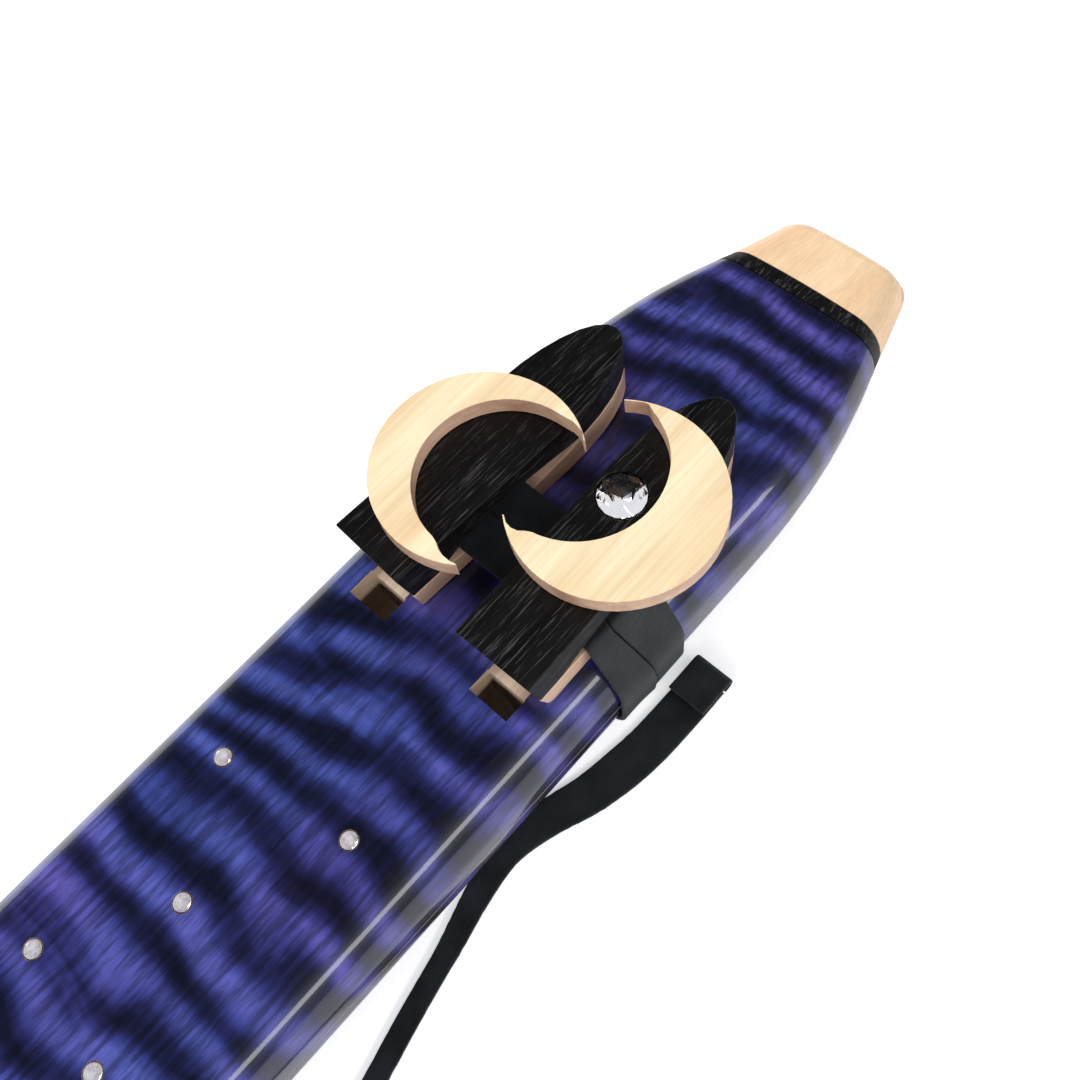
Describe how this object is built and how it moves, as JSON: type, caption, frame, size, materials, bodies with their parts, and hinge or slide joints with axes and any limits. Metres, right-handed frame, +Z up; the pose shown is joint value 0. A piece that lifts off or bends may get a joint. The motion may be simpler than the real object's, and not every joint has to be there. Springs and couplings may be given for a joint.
{
  "type": "native american flute",
  "caption": "Double-barrel duct flute in dyed curly maple with sliding blocks, moon inlays, a leather strap tie and a pale mouth tip.",
  "frame": {"origin": "on the flat underside, midway along the flute and midway between the barrels", "axes": "+X along the flute towards the mouth end, +Y to the left barrel, +Z up"},
  "size_m": [0.505, 0.0884, 0.0505],
  "materials": {
    "dyed_maple": "high gloss lacquer over blue-violet dye",
    "maple": "satin oil",
    "ebony": "satin, open grain",
    "crystal": "clear, faceted",
    "strap_leather": "soft black hide"
  },
  "bodies": {
    "flute": {"body_upper_half": "dyed_maple", "body_lower_half": "dyed_maple", "mouth_ring": "ebony", "mouth_tip": "maple", "star_crystal_1": "crystal", "star_crystal_2": "crystal", "star_crystal_3": "crystal", "star_crystal_4": "crystal", "star_crystal_5": "crystal", "strap_front_turn": "strap_leather", "strap_rear_turn": "strap_leather", "strap_fold": "strap_leather", "strap_tail": "strap_leather"},
    "left_block": {"left_block_base": "maple", "left_block_top": "ebony", "left_moon": "maple"},
    "right_block": {"right_block_base": "maple", "right_block_top": "ebony", "right_moon": "maple", "block_crystal": "crystal"}
  },
  "joints": [
    {"name": "left_block_slide", "type": "slide", "parent": "flute", "child": "left_block", "axis": [1, 0, 0], "range_m": [-0.002, 0.0025]},
    {"name": "right_block_slide", "type": "slide", "parent": "flute", "child": "right_block", "axis": [1, 0, 0], "range_m": [-0.002, 0.0025]}
  ]
}
